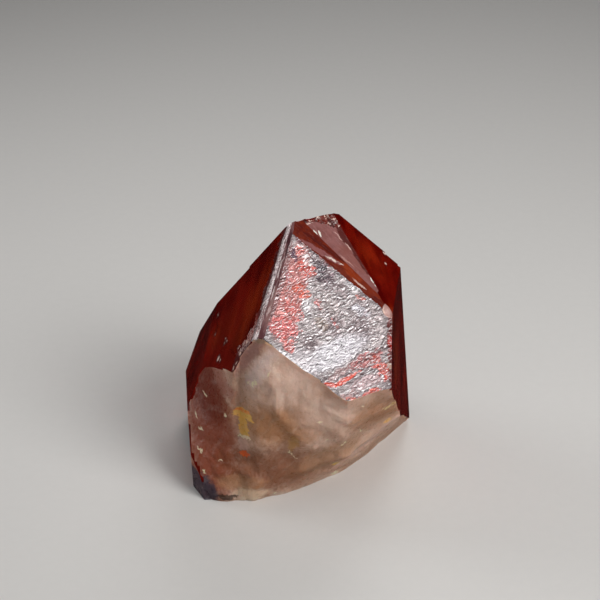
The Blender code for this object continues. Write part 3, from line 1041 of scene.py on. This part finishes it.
@dataclass
class QuartzCrystal:
    """The crystal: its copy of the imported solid, its fine relief and its finishes."""

    merge_mm: float = 0.001
    flat_angle_deg: float = 0.3
    plane_gap_mm: float = 0.35
    grid_mm: float = 1.6
    speck_mm: float = 0.36
    foot_mm: float = 0.02
    chip_reach_mm: float = 0.4
    corner_mm: float = 3.4
    corner_way: Triple = (0.0, 0.3, 0.95)
    worn_mm: float = 1.5
    low_less_mm: float = 0.2
    speck_reach_mm: float = 0.3
    crest_line_mm: float = 0.45
    crest_slope: float = 0.66
    crest_bend_mm: float = 0.3
    crest_floor_mm: float = -2.4
    worn_edge: tuple[Triple, Triple] = ((-6.9, -14.6, 31.3), (-10.2, -15.0, 25.0))
    front_cuts: int = 10
    narrow_cuts: int = 9
    break_cuts: int = 3
    smooth_angle_deg: float = 38.0
    reliefs: tuple[Relief, ...] = (
        Relief("break_shells", Skin.BREAK, 3.4, 0.26, 0.72, 1, 1.0),
        Relief("break_grain", Skin.BREAK, 0.8, 0.10, 0.7, 2, 0.5),
        Relief("front_steps", Skin.FRONT, 1.5, 0.20, 0.75, 2, 0.6, (3.0, 1.0, 1.0), "front", 16.0),
        Relief("front_etch", Skin.FRONT, 0.42, 0.22, 0.7, 2, 0.3, (2.6, 1.0, 1.0), "front", 16.0),
        Relief("band_etch", Skin.SILVER_BAND, 0.35, 0.10, 0.7, 2, 0.15),
        Relief("chip_facets", Skin.CHIPS, 1.1, 0.5, 0.85, 0, 0.25, basis="VORONOI_F1"),
    )
    piece: Optional[bpy.types.Object] = field(default=None, init=False)

    def build(self, effects: Effects) -> bpy.types.Object:
        """Model and dress the crystal.

        Args:
            effects: The shared shader groups.

        Returns:
            The finished piece.
        """
        self.piece = self.copy_solid()
        self.merge_flat_faces()
        for skin in Skin:
            self.piece.data.materials.append(LOOKS[skin].build(effects))
        self.cut_corner()
        self.sort_faces()
        self.refine()
        for relief in self.reliefs:
            self.press(relief)
        self.shade()
        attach(self.piece, BODY)
        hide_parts(NODE)
        return self.piece

    def copy_solid(self) -> bpy.types.Object:
        """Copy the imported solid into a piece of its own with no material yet.

        Returns:
            The piece.
        """
        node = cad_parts[NODE]
        piece = node.copy()
        piece.data = node.data.copy()
        piece.name = "crystal"
        piece.data.name = "crystal"
        piece.data.materials.clear()
        bpy.context.scene.collection.objects.link(piece)
        return piece

    def merge_flat_faces(self) -> None:
        """Join the loose triangles and turn each flat face into one polygon."""
        start_edit(self.piece)
        bpy.ops.mesh.select_all(action="SELECT")
        bpy.ops.mesh.remove_doubles(threshold=self.merge_mm * MM)
        bpy.ops.mesh.dissolve_limited(angle_limit=math.radians(self.flat_angle_deg))
        end_edit()

    def skin_of(self, face: bmesh.types.BMFace) -> Skin:
        """Say which skin a face of the plain solid has.

        Args:
            face: The face.

        Returns:
            Its skin.
        """
        corners = [vert.co / MM for vert in face.verts]
        if max(corner.z for corner in corners) < self.foot_mm:
            return Skin.FOOT
        middle = face.calc_center_median() / MM
        closest: Optional[CrystalFace] = None
        closest_gap = self.plane_gap_mm
        for plane in FACES.values():
            gap = max(abs(plane.height_over(corner)) for corner in corners)
            if face.normal.dot(plane.normal()) > SAME_WAY:
                gap *= 0.5
            if gap < closest_gap:
                closest_gap = gap
                closest = plane
        if closest is FACES["left_rim"] and middle.z < self.corner_mm:
            return Skin.BREAK
        if closest is not None:
            return closest.skin
        reach = self.chip_reach_mm
        chipped = any((middle - Vector(ball)).length < radius + reach for ball, radius in CHIP_BALLS)
        return Skin.CHIPS if chipped else Skin.BREAK

    def sort_faces(self) -> None:
        """Give each face the material slot of its skin."""
        start_edit(self.piece)
        mesh = bmesh.from_edit_mesh(self.piece.data)
        for face in mesh.faces:
            face.material_index = self.skin_of(face).value
        bmesh.update_edit_mesh(self.piece.data)
        end_edit()

    def cut_corner(self) -> None:
        """Cut the low left corner off the rim face, so that it can be finished with the break."""
        start_edit(self.piece)
        rim = FACES["left_rim"].normal()
        pick(self.piece, lambda face: face.normal.dot(rim) > SAME_WAY)
        height = Vector((0.0, 0.0, self.corner_mm * MM))
        bpy.ops.mesh.bisect(plane_co=height, plane_no=self.corner_way, use_fill=False)
        end_edit()

    def cut_grid(self, name: str, grid_mm: float) -> None:
        """Cut one crystal face into even squares, and, unless it is clear, what is left at its rim into
        triangles.

        Args:
            name: The face.
            grid_mm: Side of the squares.
        """
        plane = FACES[name]
        normal = plane.normal()
        limit = SAME_WAY if plane.skin is Skin.CLEAR else -1.0

        def inside(face: bmesh.types.BMFace) -> bool:
            """Say whether a face belongs to the crystal face."""
            return face.material_index == plane.skin.value and face.normal.dot(normal) >= limit

        faces = [face for face in bmesh.from_edit_mesh(self.piece.data).faces if inside(face)]
        corners = [vert.co / MM for face in faces for vert in face.verts]
        for way in (plane.across(), plane.upward()):
            reach = [corner.dot(way) for corner in corners]
            for step in range(int((max(reach) - min(reach)) / grid_mm)):
                place = way * (min(reach) + (step + 0.5) * grid_mm)
                pick(self.piece, inside)
                bpy.ops.mesh.bisect(plane_co=place * MM, plane_no=way, use_fill=False)
        if plane.skin is not Skin.CLEAR:
            pick(self.piece, lambda face: inside(face) and len(face.verts) > 4)
            bpy.ops.mesh.quads_convert_to_tris(quad_method="BEAUTY", ngon_method="BEAUTY")

    def give_skin(self, skin: Skin, wanted: Callable[[bmesh.types.BMFace], bool]) -> None:
        """Give the faces that are wanted another skin.

        Args:
            skin: The new skin.
            wanted: Says of a face whether it is wanted.
        """
        mesh = bmesh.from_edit_mesh(self.piece.data)
        for face in mesh.faces:
            if wanted(face):
                face.material_index = skin.value
        bmesh.update_edit_mesh(self.piece.data)

    def speckle(self) -> None:
        """Give the worn edge beside the silver band and the lone specks a skin of their own."""
        band = FACES["left_band_outer"]
        sides = [FACES[name].normal() for name in ("left", "right")]
        turn = math.sin(sides[0].angle(band.normal()))

        def worn(face: bmesh.types.BMFace) -> bool:
            """Say whether a cell is worn or lies on a speck.

            Args:
                face: The cell.

            Returns:
                Whether it does.
            """
            if face.material_index != Skin.CLEAR.value:
                return False
            if max(face.normal.dot(side) for side in sides) < SAME_WAY:
                return False
            place = face.calc_center_median() / MM
            coarse = 0.9 * noise.noise(place * 0.8)
            fine = 0.6 * noise.noise(place * 2.3)
            limit = self.worn_mm + coarse + fine
            low_edge, reach = intersect_point_line(place, *self.worn_edge)
            low_worn = (place - low_edge).length < limit - self.low_less_mm and 0.0 < reach < 1.0
            band_worn = face.normal.x < 0.0 and -band.height_over(place) / turn < limit
            if low_worn or band_worn:
                return True
            more = self.speck_reach_mm
            return any((place - Vector(spot)).length < size + more for spot, size in SPECKS)

        self.give_skin(Skin.SPECKLED, worn)

    def widen(self, source: str, beside: str, skin: Skin, reach: float, wobble: float) -> None:
        """Let the skin of one face run over its edge onto the face beside it.

        Args:
            source: The face whose skin runs over.
            beside: The face that it runs onto.
            skin: The skin that its cells have so far.
            reach: How far it runs, in millimetres.
            wobble: How uneven its new edge is, in millimetres.
        """
        plane = FACES[source]
        turn = math.sin(plane.normal().angle(FACES[beside].normal()))

        def near(face: bmesh.types.BMFace) -> bool:
            """Say whether a cell lies close enough to the edge.

            Args:
                face: The cell.

            Returns:
                Whether it does.
            """
            if face.material_index != skin.value:
                return False
            place = face.calc_center_median() / MM
            coarse = noise.noise(place * 0.9)
            fine = 0.6 * noise.noise(place * 2.6)
            limit = reach + wobble * (coarse + fine)
            return -plane.height_over(place) / turn < limit

        self.give_skin(plane.skin, near)

    def chip_crest(self) -> None:
        """Give the rough band along the top of the lens the skin of the chips."""
        across = FACES["lens"].across()
        upward = FACES["lens"].upward()

        def rough(face: bmesh.types.BMFace) -> bool:
            """Say whether a cell lies in the rough band.

            Args:
                face: The cell.

            Returns:
                Whether it does.
            """
            if face.material_index != Skin.LENS.value:
                return False
            gap = face.calc_center_median() / MM - Vector(FLAT_START)
            drop = self.crest_slope * max(0.0, gap.dot(across) - self.crest_bend_mm)
            line = self.crest_line_mm - drop + 0.25 * noise.noise(gap * 1.7)
            return gap.dot(upward) > max(line, self.crest_floor_mm)

        self.give_skin(Skin.CHIPS, rough)

    def refine(self) -> None:
        """Cut the skins that carry relief finely enough for it, and roughen their borders."""
        start_edit(self.piece)
        for name, plane in FACES.items():
            if plane.skin is not Skin.CLEAR:
                self.cut_grid(name, self.grid_mm)
        for name in ("left", "right"):
            self.cut_grid(name, self.speck_mm)
        self.speckle()
        pick(self.piece, lambda face: face.material_index == Skin.BREAK.value and face.normal.z > -LEVEL)
        bpy.ops.mesh.quads_convert_to_tris(quad_method="BEAUTY", ngon_method="BEAUTY")
        wanted = (
            ((Skin.FRONT,), self.front_cuts),
            ((Skin.SILVER_BAND, Skin.MAUVE_BAND, Skin.ORANGE_STRIP, Skin.LENS), self.narrow_cuts),
            ((Skin.BREAK, Skin.CHIPS, Skin.SPECKLED), self.break_cuts),
        )
        for skins, cuts in wanted:
            slots = [skin.value for skin in skins]
            pick(self.piece, lambda face: face.material_index in slots and face.normal.z > -LEVEL)
            bpy.ops.mesh.subdivide(number_cuts=cuts)
        self.widen("left_band_outer", "left", Skin.SPECKLED, reach=0.55, wobble=0.45)
        self.widen("strip", "front", Skin.FRONT, reach=0.8, wobble=0.12)
        self.chip_crest()
        end_edit()

    def weigh(self, relief: Relief) -> None:
        """Make the vertex group that lets relief fade out at the edge of its skin.

        Args:
            relief: The layer of relief.
        """
        mesh = self.piece.data
        inside: set[int] = set()
        outside: set[int] = set()
        for polygon in mesh.polygons:
            relieved = polygon.material_index == relief.skin.value and polygon.normal.z >= -LEVEL
            (inside if relieved else outside).update(polygon.vertices)
        rim = inside & outside
        tree = kdtree.KDTree(len(rim))
        for number in rim:
            tree.insert(mesh.vertices[number].co, number)
        tree.balance()
        group = self.piece.vertex_groups.new(name=relief.name)
        for number in inside - rim:
            gap = tree.find(mesh.vertices[number].co)[2]
            group.add([number], smooth_step(gap / (relief.fade_mm * MM)), "REPLACE")

    def press(self, relief: Relief) -> None:
        """Press one layer of relief into its skin with a modifier and apply it.

        Args:
            relief: The layer of relief.
        """
        self.weigh(relief)
        texture = bpy.data.textures.new(relief.name, "CLOUDS")
        texture.noise_scale = relief.size_mm * MM
        texture.noise_depth = relief.depth_layers
        texture.noise_basis = relief.basis
        guide = bpy.data.objects.new(relief.name + "_guide", None)
        bpy.context.scene.collection.objects.link(guide)
        if relief.face is not None:
            plane = FACES[relief.face]
            turn = math.radians(relief.turn_deg)
            along = plane.across() * math.cos(turn) + plane.upward() * math.sin(turn)
            rows = (along, plane.normal().cross(along), plane.normal())
            guide.rotation_mode = "QUATERNION"
            guide.rotation_quaternion = Matrix(rows).transposed().to_quaternion()
        guide.scale = relief.stretch
        bpy.context.view_layer.update()
        modifier = self.piece.modifiers.new(relief.name, "DISPLACE")
        modifier.texture = texture
        modifier.texture_coords = "OBJECT"
        modifier.texture_coords_object = guide
        modifier.strength = relief.depth_mm * MM
        modifier.mid_level = relief.middle
        modifier.vertex_group = relief.name
        choose(self.piece)
        bpy.ops.object.modifier_apply(modifier=relief.name)
        self.piece.vertex_groups.clear()
        bpy.data.objects.remove(guide)

    def shade(self) -> None:
        """Shade the relief smooth, keep the flat faces flat and the borders between skins sharp."""
        choose(self.piece)
        bpy.ops.object.shade_smooth_by_angle(angle=math.radians(self.smooth_angle_deg))
        start_edit(self.piece)
        pick(self.piece, lambda face: face.material_index == Skin.CLEAR.value)
        bpy.ops.mesh.faces_shade_flat()
        pick(self.piece, lambda edge: len({face.material_index for face in edge.link_faces}) > 1, "EDGE")
        bpy.ops.mesh.mark_sharp()
        end_edit()


# Studio


def way_to(compass_deg: float, height_deg: float) -> Vector:
    """Work out the direction towards a light or the camera.

    Args:
        compass_deg: Angle round the crystal from the front, towards its right.
        height_deg: Angle above the floor.

    Returns:
        The direction, one unit long.
    """
    compass = math.radians(compass_deg)
    height = math.radians(height_deg)
    level = math.cos(height)
    return Vector((level * math.sin(compass), -level * math.cos(compass), math.sin(height)))


def aim(thing: bpy.types.Object, name: str, way: Vector) -> None:
    """Name a light or a camera that hangs in a direction, and turn it to face the other way.

    Args:
        thing: The light or the camera.
        name: Its name.
        way: The direction.
    """
    thing.name = name
    thing.rotation_mode = "QUATERNION"
    thing.rotation_quaternion = way.to_track_quat("Z", "Y")


@dataclass(frozen=True)
class SoftBox:
    """One square soft light, by the direction that it comes from."""

    name: str
    compass_deg: float
    height_deg: float
    away: float
    side: float
    radiance: float
    spread_deg: float = 90.0
    tint: Triple = (1.0, 1.0, 1.0)

    def build(self, target: Vector) -> None:
        """Hang the light so that it faces the target.

        Args:
            target: What it faces, in metres.
        """
        way = way_to(self.compass_deg, self.height_deg)
        bpy.ops.object.light_add(type="AREA", location=target + way * self.away)
        lamp = bpy.context.object
        aim(lamp, self.name, way)
        lamp.data.shape = "SQUARE"
        lamp.data.size = self.side
        half_spread = math.radians(self.spread_deg / 2.0)
        gathered = math.tan(half_spread) / (math.tan(half_spread) - half_spread)
        lamp.data.energy = self.radiance * math.pi * self.side ** 2 / gathered
        lamp.data.color = self.tint
        lamp.data.spread = math.radians(self.spread_deg)


@dataclass(frozen=True)
class Studio:
    """Floor, lights, surroundings and camera."""

    target: Triple = (0.000335, -0.000815, 0.029)
    camera_height_deg: float = 30.0
    camera_away: float = 0.2667
    lens_mm: float = 100.0
    floor_side: float = 4.0
    world: Triple = (0.06, 0.06, 0.062)
    boxes: tuple[SoftBox, ...] = (
        SoftBox("key_box", 51.8, 40.4, 0.42, 0.20, 12.0, 90.0, (1.0, 0.99, 0.98)),
        SoftBox("left_box", -112.0, 22.0, 0.45, 0.20, 6.0, 60.0),
        SoftBox("top_box", 0.0, 75.0, 0.50, 0.25, 2.5, 70.0),
        SoftBox("back_box", 165.0, 35.0, 0.50, 0.30, 4.0, 60.0),
    )

    def build(self) -> None:
        """Set up everything round the crystal."""
        self.add_floor()
        for box in self.boxes:
            box.build(Vector(self.target))
        self.add_world()
        self.add_camera()

    def add_floor(self) -> None:
        """Lay the floor."""
        deselect_all()
        bpy.ops.mesh.primitive_plane_add(size=self.floor_side, location=(0.0, 0.0, 0.0))
        floor = bpy.context.object
        floor.name = "floor"
        floor.data.materials.append(PaleFloor().build())

    def add_world(self) -> None:
        """Fill the surroundings with dim even light."""
        world = bpy.data.worlds.new("studio")
        world.use_nodes = True
        sheet = NodeSheet(world.node_tree)
        glossy = sheet.node("ShaderNodeLightPath").outputs["Is Glossy Ray"]
        seen = sheet.mix(glossy, (*self.world, 1.0), brighter(self.world, 0.3))
        sheet.feed(world.node_tree.nodes["Background"].inputs["Color"], seen)
        bpy.context.scene.world = world

    def add_camera(self) -> None:
        """Place the camera at the photograph's angle."""
        way = way_to(0.0, self.camera_height_deg)
        bpy.ops.object.camera_add(location=Vector(self.target) + way * self.camera_away)
        camera = bpy.context.object
        aim(camera, "camera", way)
        camera.data.lens = self.lens_mm
        camera.data.sensor_width = 36.0
        camera.data.clip_start = 0.01
        camera.data.clip_end = 20.0
        bpy.context.scene.camera = camera
        bpy.context.scene.view_settings.view_transform = "Standard"


def main() -> None:
    """Build the crystal, then the studio round it."""
    logging.basicConfig(level=logging.INFO, format="%(name)s: %(message)s")
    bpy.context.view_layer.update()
    crystal = QuartzCrystal().build(Effects())
    log.info("%s: %d faces", crystal.name, len(crystal.data.polygons))
    Studio().build()
    log.info("studio: %d lights", len(Studio().boxes))


if __name__ == "__main__":
    main()
